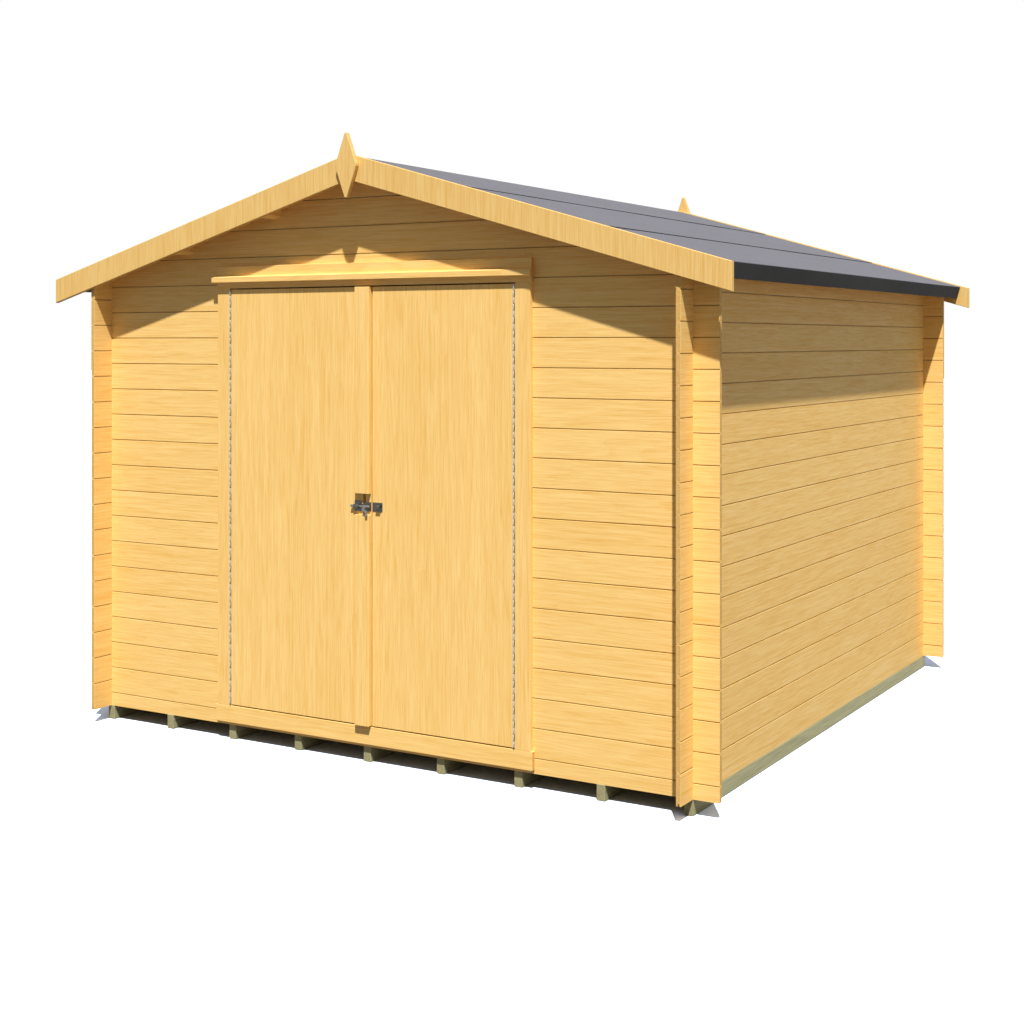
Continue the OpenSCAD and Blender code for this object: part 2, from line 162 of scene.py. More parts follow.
# Materials
# ----
class Nodes:
    """Short calls for laying out one material's nodes."""

    def __init__(self, name):
        self.material = bpy.data.materials.new(name)
        self.material.use_nodes = True
        self.tree = self.material.node_tree
        self.tree.nodes.clear()
        self.column = 0

    def add(self, kind, **settings):
        node = self.tree.nodes.new(kind)
        node.location = (self.column * 180, 0)
        self.column += 1
        for key, value in settings.items():
            setattr(node, key, value)
        return node

    def join(self, out, into):
        self.tree.links.new(out, into)

    def noise(self, vector, scale, detail=4.0, rough=0.55, distortion=0.0):
        node = self.add("ShaderNodeTexNoise")
        node.inputs["Scale"].default_value = scale
        node.inputs["Detail"].default_value = detail
        node.inputs["Roughness"].default_value = rough
        node.inputs["Distortion"].default_value = distortion
        self.join(vector, node.inputs["Vector"])
        return node.outputs["Fac"]

    def stretch(self, vector, scale, turn=(0.0, 0.0, 0.0)):
        node = self.add("ShaderNodeMapping")
        node.inputs["Rotation"].default_value = turn
        node.inputs["Scale"].default_value = scale
        self.join(vector, node.inputs["Vector"])
        return node.outputs["Vector"]

    def span(self, value, low, high, out_low=0.0, out_high=1.0):
        node = self.add("ShaderNodeMapRange")
        node.inputs["From Min"].default_value = low
        node.inputs["From Max"].default_value = high
        node.inputs["To Min"].default_value = out_low
        node.inputs["To Max"].default_value = out_high
        self.join(value, node.inputs["Value"])
        return node.outputs["Result"]

    def maths(self, operation, first, second=0.5):
        node = self.add("ShaderNodeMath", operation=operation)
        for socket, value in zip(node.inputs, (first, second)):
            if isinstance(value, (int, float)):
                socket.default_value = value
            else:
                self.join(value, socket)
        return node.outputs["Value"]

    def mix(self, factor, first, second, blend="MIX"):
        node = self.add("ShaderNodeMix", data_type="RGBA", blend_type=blend)
        sockets = [s for s in node.inputs if s.type == "RGBA"]
        if isinstance(factor, (int, float)):
            node.inputs["Factor"].default_value = factor
        else:
            self.join(factor, node.inputs["Factor"])
        for socket, value in zip(sockets, (first, second)):
            if isinstance(value, bpy.types.NodeSocket):
                self.join(value, socket)
            else:
                socket.default_value = (*value, 1.0)
        return [s for s in node.outputs if s.type == "RGBA"][0]

    def finish(self, colour, roughness, height=None, bump=0.2, depth=0.001, **plain):
        shader = self.add("ShaderNodeBsdfPrincipled")
        self.join(colour, shader.inputs["Base Color"])
        self.join(roughness, shader.inputs["Roughness"])
        for key, value in plain.items():
            shader.inputs[key.replace("_", " ")].default_value = value
        if height is not None:
            node = self.add("ShaderNodeBump")
            node.inputs["Strength"].default_value = bump
            node.inputs["Distance"].default_value = depth
            self.join(height, node.inputs["Height"])
            self.join(node.outputs["Normal"], shader.inputs["Normal"])
        out = self.add("ShaderNodeOutputMaterial")
        self.join(shader.outputs["BSDF"], out.inputs["Surface"])
        return self.material


AXES = {"X": 0, "Y": 1, "Z": 2}


def timber_material(name, axis, pale, dark, turn=(0.0, 0.0, 0.0), contrast=1.0, end_dark=0.82):
    """Planed softwood whose fibres run along one axis, with growth bands, fibres and end grain."""
    made = bpy.data.materials.get(name)
    if made:
        return made
    n = Nodes(name)
    place = n.add("ShaderNodeTexCoord")
    shift = n.add("ShaderNodeAttribute", attribute_name="grain_shift")
    moved = n.add("ShaderNodeVectorMath", operation="ADD")
    n.join(place.outputs["Object"], moved.inputs[0])
    n.join(shift.outputs["Vector"], moved.inputs[1])
    level = n.stretch(moved.outputs["Vector"], (1.0, 1.0, 1.0), turn)

    def along(lengthwise, across):
        scale = [across] * 3
        scale[AXES[axis]] = lengthwise
        return n.stretch(level, scale)

    bands = n.noise(along(0.55, 9.0), 1.0, 2.0, 0.5, 0.4)
    ring = n.maths("FRACT", n.maths("MULTIPLY", bands, 11.0))
    ring = n.maths("POWER", ring, 2.2)
    streak = n.span(n.noise(along(2.2, 120.0), 1.0, 4.0, 0.62), 0.38, 0.64)
    fleck = n.span(n.noise(along(8.0, 330.0), 1.0, 2.0, 0.55), 0.44, 0.62)
    fibre = n.noise(along(16.0, 700.0), 1.0, 3.0, 0.6)
    cloud = n.span(n.noise(along(0.7, 4.0), 1.0, 2.0), 0.3, 0.7)
    tone = n.maths("MULTIPLY", streak, 0.32)
    shade = n.add("ShaderNodeAttribute", attribute_name="board_shade").outputs["Fac"]
    for part, share in ((ring, 0.20), (fleck, 0.46), (fibre, 0.12), (cloud, 0.03), (shade, 0.13)):
        tone = n.maths("ADD", tone, n.maths("MULTIPLY", part, share))
    tone = n.span(tone, 0.5 - 0.55 / contrast, 0.5 + 0.55 / contrast)
    colour = n.mix(tone, pale, dark)
    # End grain is a little deeper in colour, with fine growth rings
    axis_split = n.add("ShaderNodeSeparateXYZ")
    n.join(place.outputs["Normal"], axis_split.inputs["Vector"])
    facing = n.maths("ABSOLUTE", axis_split.outputs[AXES[axis]])
    is_end = n.span(facing, 0.8, 0.95)
    rings = n.span(n.noise(along(1.0, 260.0), 1.0, 2.0, 0.5, 1.2), 0.35, 0.65, 0.55, 1.0)
    end_tone = n.maths("MULTIPLY", rings, end_dark)
    ended = n.mix(1.0, colour, (0.93, 0.87, 0.78), "MULTIPLY")
    grey = n.add("ShaderNodeCombineColor")
    for socket in grey.inputs[:3]:
        n.join(end_tone, socket)
    ended = n.mix(0.55, ended, n.mix(1.0, ended, grey.outputs["Color"], "MULTIPLY"))
    colour = n.mix(is_end, colour, ended)
    rough = n.span(streak, 0.0, 1.0, 0.56, 0.70)
    height = n.maths("ADD", n.maths("MULTIPLY", fibre, 0.7), n.maths("MULTIPLY", ring, 0.3))
    return n.finish(
        colour, rough, height, bump=0.22, depth=0.0006,
        Specular_IOR_Level=0.32, Coat_Weight=0.0,
    )


def felt_material(name, base, fine=0.5):
    """Bitumen felt with a mineral face: crushed-slate grains over dark bitumen."""
    made = bpy.data.materials.get(name)
    if made:
        return made
    n = Nodes(name)
    place = n.add("ShaderNodeTexCoord").outputs["Object"]
    grains = n.add("ShaderNodeTexVoronoi", feature="F1")
    grains.inputs["Scale"].default_value = 420.0
    n.join(place, grains.inputs["Vector"])
    grain_tone = n.add("ShaderNodeSeparateColor")
    n.join(grains.outputs["Color"], grain_tone.inputs["Color"])
    patch = n.span(n.noise(place, 2.2, 4.0), 0.3, 0.7)
    rub = n.span(n.noise(n.stretch(place, (1.5, 0.35, 1.5)), 7.0, 3.0), 0.35, 0.7)
    tone = n.maths("MULTIPLY", grain_tone.outputs["Red"], fine)
    for part, share in ((patch, 0.22), (rub, 0.14)):
        tone = n.maths("ADD", tone, n.maths("MULTIPLY", part, share))
    tone = n.span(tone, 0.0, fine + 0.36)
    low = [c * 0.80 for c in base]
    high = [min(1.0, c * 1.20) for c in base]
    colour = n.mix(tone, low, high)
    rough = n.span(patch, 0.0, 1.0, 0.82, 0.94)
    height = n.maths("SUBTRACT", 1.0, grains.outputs["Distance"])
    return n.finish(colour, rough, height, bump=0.35, depth=0.0008, Specular_IOR_Level=0.25)


def steel_material(name, base, brushed=(1.0, 1.0, 60.0), metallic=0.8):
    """Bright zinc-plated steel, faintly mottled."""
    made = bpy.data.materials.get(name)
    if made:
        return made
    n = Nodes(name)
    place = n.add("ShaderNodeTexCoord").outputs["Object"]
    mottle = n.span(n.noise(place, 160.0, 4.0), 0.3, 0.7)
    lines = n.noise(n.stretch(place, brushed), 30.0, 3.0)
    colour = n.mix(mottle, [c * 0.82 for c in base], [min(1.0, c * 1.12) for c in base])
    rough = n.span(lines, 0.3, 0.7, 0.42, 0.58)
    return n.finish(colour, rough, lines, bump=0.06, depth=0.0003, Metallic=metallic)


def colours():
    return bpy.context.scene.cabin_colours


def sizes():
    return bpy.context.scene.cabin_sizes


def pine(axis, turn_deg=0.0, tone=1.0, contrast=1.0):
    c = colours()
    tag = "" if not turn_deg else ("_rising" if turn_deg > 0 else "_falling")
    if tone != 1.0:
        tag += f"_{round(tone * 100)}"
    turn = (0.0, math.radians(turn_deg), 0.0)
    pale = [min(1.0, v * tone) for v in c.pine_pale]
    dark = [v * tone for v in c.pine_dark]
    return timber_material(f"planed_pine_{axis.lower()}{tag}", axis, pale, dark, turn, contrast)


def wall_pine_with_painted_joint_shade(axis):
    """Log timber, with a darker copy of it that paints shade on the downward faces under each joint."""
    return [pine(axis), pine(axis, 0.0, 0.5)]


def treated_pine():
    c = colours().treated
    pale = [min(1.0, v * 1.15) for v in c]
    dark = [v * 0.72 for v in c]
    return timber_material("treated_softwood", "Y", pale, dark, contrast=1.2, end_dark=0.95)


# Mesh making
# ----
def inset(section, distance):
    """The same outline moved inward by a small distance."""
    count = len(section)
    area = sum(
        section[i][0] * section[(i + 1) % count][1] - section[(i + 1) % count][0] * section[i][1]
        for i in range(count)
    )
    side = 1.0 if area > 0 else -1.0
    result = []
    for i in range(count):
        before = Vector(section[i - 1])
        here = Vector(section[i])
        after = Vector(section[(i + 1) % count])
        first = (here - before).normalized()
        second = (after - here).normalized()
        n1 = Vector((-first.y, first.x)) * side
        n2 = Vector((-second.y, second.x)) * side
        bisector = n1 + n2
        if bisector.length < 1e-6:
            result.append(tuple(here + n1 * distance))
            continue
        bisector.normalize()
        reach = distance / max(0.35, bisector.dot(n1))
        result.append(tuple(here + bisector * reach))
    return result


def eased_rect(a0, a1, b0, b1, ease):
    """A rectangle with its four corners cut."""
    return [
        (a0 + ease, b0), (a1 - ease, b0), (a1, b0 + ease), (a1, b1 - ease),
        (a1 - ease, b1), (a0 + ease, b1), (a0, b1 - ease), (a0, b0 + ease),
    ]


def loft(bm, rings, smooth=False):
    """Joins rings of points into one closed solid."""
    count = len(rings[0])
    for one, two in zip(rings, rings[1:]):
        for i in range(count):
            j = (i + 1) % count
            bm.faces.new((one[i], one[j], two[j], two[i])).smooth = smooth
    bm.faces.new(rings[0][::-1])
    bm.faces.new(rings[-1])


class Joinery:
    """Collects closed boards into one mesh, with a shade and a grain shift for each board."""

    def __init__(self, seed):
        self.bm = bmesh.new()
        self.shade = self.bm.faces.layers.float.new("board_shade")
        self.shift = self.bm.faces.layers.float_vector.new("grain_shift")
        self.dice = random.Random(seed)
        self.pick = (0.0, (0.0, 0.0, 0.0))
        self.choose()

    def choose(self):
        """Draws the look of the next board."""
        d = self.dice
        self.pick = (
            d.uniform(-0.5, 0.5),
            (d.uniform(-9, 9), d.uniform(-9, 9), d.uniform(-9, 9)),
        )

    def sweep(self, section, place, start, end, ease=(0.0, 0.0), cuts=(), painted_shade_joint_z=None):
        """Sweeps an outline from start to end. ease cuts the edges round each end."""
        low, high = ease
        stations = [(start, low > 0)]
        if low > 0:
            stations.append((start + low, False))
        if high > 0:
            stations.append((end - high, False))
        stations.append((end, high > 0))
        widest = max(low, high)
        narrow = inset(section, widest) if widest > 0 else section
        bm = bmesh.new()
        rings = []
        for along, small in stations:
            outline = narrow if small else section
            rings.append([bm.verts.new(place(a, b, along)) for a, b in outline])
        loft(bm, rings)
        for point, normal in cuts:
            everything = bm.verts[:] + bm.edges[:] + bm.faces[:]
            cut = bmesh.ops.bisect_plane(
                bm, geom=everything, plane_co=point, plane_no=normal, clear_outer=True
            )
            edges = [g for g in cut["geom_cut"] if isinstance(g, bmesh.types.BMEdge)]
            if edges:
                bmesh.ops.holes_fill(bm, edges=edges, sides=0)
        bmesh.ops.recalc_face_normals(bm, faces=bm.faces[:])
        # Painted shade: faces that point down just under the joint line take the darker timber, standing
        # in for the shade in the groove
        if painted_shade_joint_z is not None:
            for face in bm.faces:
                near = abs(face.calc_center_median().z - painted_shade_joint_z) < 0.006
                if near and -0.95 < face.normal.z < -0.3:
                    face.material_index = 1
        self.take(bm)

    def board(self, sides, place, start, end, ease, tip=None):
        """A straight board, given as (a0, a1, b0, b1), with its edges and ends eased."""
        tip = ease if tip is None else tip
        self.sweep(eased_rect(*sides, ease), place, start, end, (tip, tip))

    def take(self, bm):
        """Adds the faces of a small mesh and frees it."""
        made = {v: self.bm.verts.new(v.co) for v in bm.verts}
        for face in bm.faces:
            new = self.bm.faces.new([made[v] for v in face.verts])
            new[self.shade] = self.pick[0]
            new[self.shift] = self.pick[1]
            new.material_index = face.material_index
            new.smooth = face.smooth
        bm.free()

    def piece(self, name, body, nodes, materials, sharp=0.6):
        """Turns what was collected into a piece that stands for CAD nodes."""
        for edge in self.bm.edges:
            if len(edge.link_faces) == 2 and edge.calc_face_angle(0.0) > sharp:
                edge.smooth = False
        mesh = bpy.data.meshes.new(name)
        self.bm.to_mesh(mesh)
        self.bm.free()
        for material in materials:
            mesh.materials.append(material)
        obj = bpy.data.objects.new(name, mesh)
        bpy.context.scene.collection.objects.link(obj)
        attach(obj, body)
        if nodes:
            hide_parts(*nodes)
        return obj


def rod(centre_a, centre_b, radius, sides=20, ease=0.0):
    """A round bar between two points as a small mesh, with eased ends."""
    a, b = Vector(centre_a), Vector(centre_b)
    axis = (b - a).normalized()
    side = axis.orthogonal().normalized()
    other = axis.cross(side)
    bm = bmesh.new()
    rings = []
    plan = [(a, radius - ease), (a + axis * ease, radius), (b - axis * ease, radius), (b, radius - ease)]
    if ease <= 0:
        plan = [(a, radius), (b, radius)]
    for centre, r in plan:
        ring = []
        for i in range(sides):
            t = 2 * math.pi * i / sides
            ring.append(bm.verts.new(centre + (side * math.cos(t) + other * math.sin(t)) * r))
        rings.append(ring)
    loft(bm, rings, True)
    bmesh.ops.recalc_face_normals(bm, faces=bm.faces[:])
    return bm


# Ways to place an outline in the cabin: (distance in from the outer face, height, run along)
def on_front(a, b, s):
    return (s, -HALF_D + a, b)


def on_back(a, b, s):
    return (s, HALF_D - a, b)


def on_left(a, b, s):
    return (-HALF_W + a, s, b)


def on_right(a, b, s):
    return (HALF_W - a, s, b)


def run_x(a, b, s):
    """Outline in Y and Z, run along X."""
    return (s, a, b)


def run_y(a, b, s):
    """Outline in X and Z, run along Y."""
    return (a, s, b)


def run_z(a, b, s):
    """Outline in X and Y, run upward."""
    return (a, b, s)


def roof_plane(side):
    """Cut that keeps what is under the roof boards on one side."""
    slope = math.tan(sizes().pitch)
    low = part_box("ridge_purlin")[1].z
    return ((0.0, 0.0, low), (side * slope, 0.0, 1.0))


def log_section(low, high, groove, foot=True, head=True, high_inner=None):
    """End view of one log: eased faces, a tongue on top and a groove beneath."""
    t = LOG_T
    rise = 0.0012
    lift = 0.0040
    gap = 0.0002
    tongue = 0.0075
    mid = t / 2
    points = []
    if foot:
        points += [(groove, low + gap)]
    else:
        points += [(0.0006, low)]
    points += [
        (mid - 0.0033, low + gap), (mid - 0.0033, low + 0.0083),
        (mid + 0.0033, low + 0.0083), (mid + 0.0033, low + gap),
    ]
    if foot:
        points += [(t - groove, low + gap), (t, low + lift)]
    else:
        points += [(t - 0.0006, low)]
    if head:
        points += [
            (t, high - rise), (t - groove, high - gap),
            (mid + 0.003, high - gap), (mid + 0.003, high + tongue),
            (mid - 0.003, high + tongue), (mid - 0.003, high - gap),
            (groove, high - gap), (0.0, high - rise),
        ]
    else:
        inner = high if high_inner is None else high_inner
        points += [(t, inner), (0.0, high)]
    if foot:
        points += [(0.0, low + lift)]
    return points


def log_run(work, place, section, core, start, end, crossings, cuts=()):
    """One log from start to end; at each crossing only its notched core goes through."""
    work.choose()
    stops = [start]
    for low, high in crossings:
        if start < low < end:
            stops += [low, high]
    stops.append(end)
    for i in range(0, len(stops), 2):
        ease = (0.0008 if i == 0 else 0.0, 0.0008 if i == len(stops) - 2 else 0.0)
        work.sweep(section, place, stops[i], stops[i + 1], ease, cuts, section[0][1])
    for i in range(1, len(stops) - 1, 2):
        if core[1] - core[0] > 0.002:
            heart = [(0, core[0]), (LOG_T, core[0]), (LOG_T, core[1]), (0, core[1])]
            work.sweep(heart, place, stops[i], stops[i + 1], (0.0, 0.0), cuts)


def crossings(half):
    """Where the logs of one wall cross the two walls beside it."""
    return [(-half, -half + LOG_T), (half - LOG_T, half)]


def core_of(low):
    """Heights between the notches of a full log."""
    return (low + LOG_H / 4, low + 3 * LOG_H / 4)


def bottom_log(work, place):
    """The half log that an end wall starts from."""
    section = log_section(WALL_BASE, HALF_LOG_TOP, sizes().groove, False, True)
    core = (WALL_BASE, WALL_BASE + LOG_H / 4)
    log_run(work, place, section, core, -REACH_X, REACH_X, crossings(HALF_W))


def full_logs(work, place, start, end):
    """The full logs of an end wall, one on another."""
    for n in range(END_WALL_LOGS):
        low = HALF_LOG_TOP + n * LOG_H
        section = log_section(low, low + LOG_H, sizes().groove)
        log_run(work, place, section, core_of(low), start, end, crossings(HALF_W))


# Operators, one for each piece or group of like pieces
# ----
class CABIN_OT_bearers(bpy.types.Operator):
    """Lays the treated bearers under the floor"""

    bl_idname = "cabin.bearers"
    bl_label = "Floor bearers"

    def execute(self, context):
        low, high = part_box("floor_bearers")
        pitch = (high.x - low.x - BEARER_W) / (BEARERS - 1)
        work = Joinery(11)
        for i in range(BEARERS):
            work.choose()
            x = low.x + i * pitch
            work.board((x, x + BEARER_W, low.z, high.z), run_y, low.y, high.y, 0.0025, 0.001)
        work.piece("bearers", CABIN, ["floor_bearers"], [treated_pine()])
        return {"FINISHED"}


class CABIN_OT_floor(bpy.types.Operator):
    """Lays the floor boards"""

    bl_idname = "cabin.floor"
    bl_label = "Floor boards"

    def execute(self, context):
        low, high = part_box("floor_boards")
        count = round((high.y - low.y) / sizes().floor_board)
        pitch = (high.y - low.y) / count
        work = Joinery(12)
        for i in range(count):
            work.choose()
            y = low.y + i * pitch
            section = eased_rect(y + 0.0003, y + pitch - 0.0003, low.z, high.z, 0.001)
            work.sweep(section, run_x, low.x, high.x)
        work.piece("floor_planks", CABIN, ["floor_boards"], [pine("X")])
        return {"FINISHED"}


class CABIN_OT_side_walls(bpy.types.Operator):
    """Stacks the logs of the two side walls"""

    bl_idname = "cabin.side_walls"
    bl_label = "Side walls"

    def execute(self, context):
        top_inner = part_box("right_wall")[1].z
        slope = math.tan(sizes().pitch)
        top = top_inner - LOG_T * slope
        for name, node, place, seed in (
            ("left_wall_logs", "left_wall", on_left, 21),
            ("right_wall_logs", "right_wall", on_right, 22),
        ):
            work = Joinery(seed)
            for n in range(SIDE_WALL_LOGS):
                low = WALL_BASE + n * LOG_H
                last = n == SIDE_WALL_LOGS - 1
                high = top if last else low + LOG_H
                section = log_section(
                    low, high, sizes().groove, n > 0, not last, top_inner if last else None
                )
                log_run(work, place, section, core_of(low), -REACH_Y, REACH_Y, crossings(HALF_D))
            work.piece(name, CABIN, [node], wall_pine_with_painted_joint_shade("Y"))
        return {"FINISHED"}


class CABIN_OT_front_wall(bpy.types.Operator):
    """Stacks the logs of the front wall round the doorway"""

    bl_idname = "cabin.front_wall"
    bl_label = "Front wall"

    def execute(self, context):
        work = Joinery(31)
        bottom_log(work, on_front)
        work.piece("front_bottom_log", CABIN, ["front_base_log"], wall_pine_with_painted_joint_shade("X"))
        for name, node, start, end, seed in (
            ("front_left_logs", "front_wall_left", -REACH_X, -DOORWAY_HALF_W, 32),
            ("front_right_logs", "front_wall_right", DOORWAY_HALF_W, REACH_X, 33),
        ):
            work = Joinery(seed)
            full_logs(work, on_front, start, end)
            work.piece(name, CABIN, [node], wall_pine_with_painted_joint_shade("X"))
        return {"FINISHED"}


def gable_logs(work, place, door_cut=None):
    """The logs over the eaves line, trimmed to the roof, with the lowest one let over a door head."""
    groove = sizes().groove
    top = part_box("ridge_purlin")[1].z
    base = WALL_BASE + 16.5 * LOG_H
    planes = (roof_plane(1), roof_plane(-1))
    for n in range(GABLE_LOGS):
        low = base + n * LOG_H
        if low > top:
            break
        section = log_section(low, low + LOG_H, groove)
        core = core_of(low)
        if n == 0 and door_cut:
            reach, head = door_cut
            log_run(work, place, section, core, -REACH_X, -reach, crossings(HALF_W), planes)
            over = log_section(head, low + LOG_H, groove, False, True)
            work.sweep(over, place, -reach, reach, (0.0, 0.0), planes)
            log_run(work, place, section, core, reach, REACH_X, crossings(HALF_W), planes)
        else:
            gaps = crossings(HALF_W) if n == 0 else ()
            log_run(work, place, section, core, -REACH_X, REACH_X, gaps, planes)


class CABIN_OT_gables(bpy.types.Operator):
    """Stacks the logs of both gables"""

    bl_idname = "cabin.gables"
    bl_label = "Gables"

    def execute(self, context):
        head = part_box("door_head")[0].z + HEAD_LOG_DEPTH
        work = Joinery(41)
        gable_logs(work, on_front, (DOORWAY_HALF_W, head))
        work.piece("front_gable_logs", CABIN, ["front_gable"], wall_pine_with_painted_joint_shade("X"))
        work = Joinery(42)
        gable_logs(work, on_back)
        work.piece("back_gable_logs", CABIN, ["back_gable"], wall_pine_with_painted_joint_shade("X"))
        return {"FINISHED"}


class CABIN_OT_back_wall(bpy.types.Operator):
    """Stacks the logs of the back wall"""

    bl_idname = "cabin.back_wall"
    bl_label = "Back wall"

    def execute(self, context):
        work = Joinery(51)
        bottom_log(work, on_back)
        full_logs(work, on_back, -REACH_X, REACH_X)
        work.piece("back_wall_logs", CABIN, ["back_wall"], wall_pine_with_painted_joint_shade("X"))
        return {"FINISHED"}


class CABIN_OT_door_frame(bpy.types.Operator):
    """Builds the sill, posts, head and drip board of the doorway"""

    bl_idname = "cabin.door_frame"
    bl_label = "Door frame"

    def execute(self, context):
        ease = sizes().chamfer
        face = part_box("door_post_right")[0].y
        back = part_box("door_post_right")[1].y
        wall_in = -HALF_D + LOG_T
        cut = DOORWAY_HALF_W
        # Sill: a front board, a core through the wall and a back board
        low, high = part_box("door_sill")
        work = Joinery(61)
        work.board((face, -HALF_D, low.z, high.z), run_x, low.x, high.x, ease)
        work.choose()
        work.board((-HALF_D, back, HALF_LOG_TOP, high.z - 0.0004), run_x, -cut, cut, ease)
        work.piece("sill", CABIN, ["door_sill"], [pine("X")])
        # Posts
        for name, node, side, seed in (
            ("post_left", "door_post_left", -1, 62),
            ("post_right", "door_post_right", 1, 63),
        ):
            low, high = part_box(node)
            near = (low.x if side > 0 else -high.x) + POST_REBATE
            far = high.x if side > 0 else -low.x
            work = Joinery(seed)

            def board(x0, x1, y0, y1):
                a0, a1 = sorted((side * x0, side * x1))
                work.board((a0, a1, y0, y1), run_z, low.z, high.z, ease)

            board(near, far, face, -HALF_D)
            work.choose()
            board(near, cut, -HALF_D, wall_in)
            board(near - POST_REBATE, near, -HALF_D + 0.006, wall_in)
            work.choose()
            board(near, far, wall_in, back)
            work.piece(name, CABIN, [node], [pine("Z")])
        # Head and drip board
        low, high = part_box("door_head")
        work = Joinery(64)
        work.board((face, -HALF_D, low.z, high.z), run_x, low.x, high.x, ease)
        work.choose()
        work.board((-HALF_D, wall_in, low.z, low.z + HEAD_LOG_DEPTH), run_x, -cut, cut, ease, 0.0)
        work.choose()
        work.board((wall_in, back, low.z, high.z), run_x, low.x, high.x, ease)
        work.piece("head_rail", CABIN, ["door_head"], [pine("X")])
        low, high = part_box("drip_board")
        work = Joinery(65)
        section = [
            (high.y, low.z), (high.y, high.z), (high.y - 0.002, high.z),
            (low.y + 0.003, high.z - 0.0035), (low.y, high.z - 0.0062),
            (low.y, low.z + ease), (low.y + ease, low.z),
        ]
        work.sweep(section, run_x, low.x, high.x, (ease, ease))
        work.piece("drip_mould", CABIN, ["drip_board"], [pine("X")])
        return {"FINISHED"}


class CABIN_OT_purlins(bpy.types.Operator):
    """Sets the ridge purlin and the four side purlins"""

    bl_idname = "cabin.purlins"
    bl_label = "Purlins"

    def execute(self, context):
        slope = math.tan(sizes().pitch)
        ease = 0.0015
        low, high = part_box("ridge_purlin")
        work = Joinery(71)
        shoulder = high.z - slope * high.x
        section = [
            (low.x + ease, low.z), (high.x - ease, low.z), (high.x, low.z + ease), (high.x, shoulder),
            (0.0, high.z), (low.x, shoulder), (low.x, low.z + ease),
        ]
        work.sweep(section, run_y, low.y, high.y, (ease, ease))
        work.piece("ridge_beam", CABIN, ["ridge_purlin"], [pine("Y")])
        top = high.z
        low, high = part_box("side_purlins")
        work = Joinery(72)
        for side in (1, -1):
            for x in (high.x - PURLIN_W, INNER_PURLIN_X):
                work.choose()
                far = x + PURLIN_W
                inner, outer = top - x * slope, top - far * slope
                section = [
                    (side * x, inner), (side * far, outer),
                    (side * far, outer - PURLIN_DEPTH + ease),
                    (side * (far - ease), outer - PURLIN_DEPTH + ease * slope),
                    (side * (x + ease), inner - PURLIN_DEPTH - ease * slope),
                    (side * x, inner - PURLIN_DEPTH + ease),
                ]
                work.sweep(section, run_y, low.y, high.y, (ease, ease))
        work.piece("side_beams", CABIN, ["side_purlins"], [pine("Y")])
        return {"FINISHED"}


def roof_place(side):
    """Places (along the ridge, above the felt line, down the slope) on one side of the roof."""
    pitch = sizes().pitch
    c, s = math.cos(pitch), math.sin(pitch)

    def place(a, b, u):
        return (side * (u * c + b * s), a, ROOF_TOP - u * s + b * c)

    return place


class CABIN_OT_roof_deck(bpy.types.Operator):
    """Lays the roof boards and the eaves boards"""

    bl_idname = "cabin.roof_deck"
    bl_label = "Roof boards"

    def execute(self, context):
        pitch = sizes().pitch
        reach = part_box("felt_lower")[1].x / math.cos(pitch) - 0.003
        count = round(2 * ROOF_Y / sizes().roof_board)
        width = 2 * ROOF_Y / count
        for name, node, side, seed in (
            ("deck_left", "roof_boards_left", -1, 81),
            ("deck_right", "roof_boards_right", 1, 82),
        ):
            work = Joinery(seed)
            place = roof_place(side)
            middle = ((0.0, 0.0, 0.0), (-side, 0.0, 0.0))
            for i in range(count):
                work.choose()
                y = -ROOF_Y + i * width
                section = [
                    (y + 0.0025, -0.022), (y + width - 0.0025, -0.022),
                    (y + width - 0.0002, -0.0197), (y + width - 0.0002, -0.003),
                    (y + 0.0002, -0.003), (y + 0.0002, -0.0197),
                ]
                work.sweep(section, place, -0.012, reach, (0.0, 0.0008), [middle])
            turn = -math.degrees(pitch) * side
            work.piece(name, CABIN, [node], [pine("X", turn)])
        work = Joinery(83)
        for side in (-1, 1):
            work.choose()
            on_slope = roof_place(side)
            section = eased_rect(reach - BOARD_T, reach, -0.058, -0.022, 0.001)
            work.sweep(section, lambda a, b, s: on_slope(s, b, a), -ROOF_Y, ROOF_Y, (0.001, 0.001))
        work.piece("eaves_rails", CABIN, ["eaves_boards"], [pine("Y")])
        return {"FINISHED"}


def felt_outline(points, step):
    """Splits the long edges of an outline so that the sheet can lie unevenly."""
    dense = []
    for i, here in enumerate(points):
        after = points[(i + 1) % len(points)]
        length = math.hypot(after[0] - here[0], after[1] - here[1])
        parts = max(1, round(length / step))
        for k in range(parts):
            t = k / parts
            dense.append((here[0] + (after[0] - here[0]) * t, here[1] + (after[1] - here[1]) * t))
    return dense


def felt_sheet(work, outline, side, seed):
    """One sheet of felt run the length of the roof, with a slight unevenness."""
    place = roof_place(side)
    wave = sizes().felt_wave
    step = 0.07
    runs = round(2 * ROOF_Y / step)
    dense = felt_outline(outline, step)
    bm = bmesh.new()
    rings = []
    for i in range(runs + 1):
        y = -ROOF_Y + 2 * ROOF_Y * i / runs
        ring = []
        for u, v in dense:
            lift = noise.noise(Vector((u * 2.4 + seed, y * 1.7, seed * 0.37))) * wave
            lift += noise.noise(Vector((u * 8.0, y * 5.0 + seed, 3.1))) * wave * 0.35
            lift = min(0.0, lift - wave * 0.15)
            fade = min(1.0, max(0.0, (ROOF_Y - abs(y)) / 0.05))
            ring.append(bm.verts.new(place(y, v + lift * fade, u)))
        rings.append(ring)
    loft(bm, rings, True)
    bmesh.ops.recalc_face_normals(bm, faces=bm.faces[:])
    work.choose()
    first = len(work.bm.faces)
    work.take(bm)
    work.bm.faces.ensure_lookup_table()
    pitch = sizes().pitch
    for face in work.bm.faces[first:]:
        face.normal_update()
        up = face.normal.dot(Vector((side * math.sin(pitch), 0.0, math.cos(pitch))))
        if up < 0.55:
            face.material_index = 1


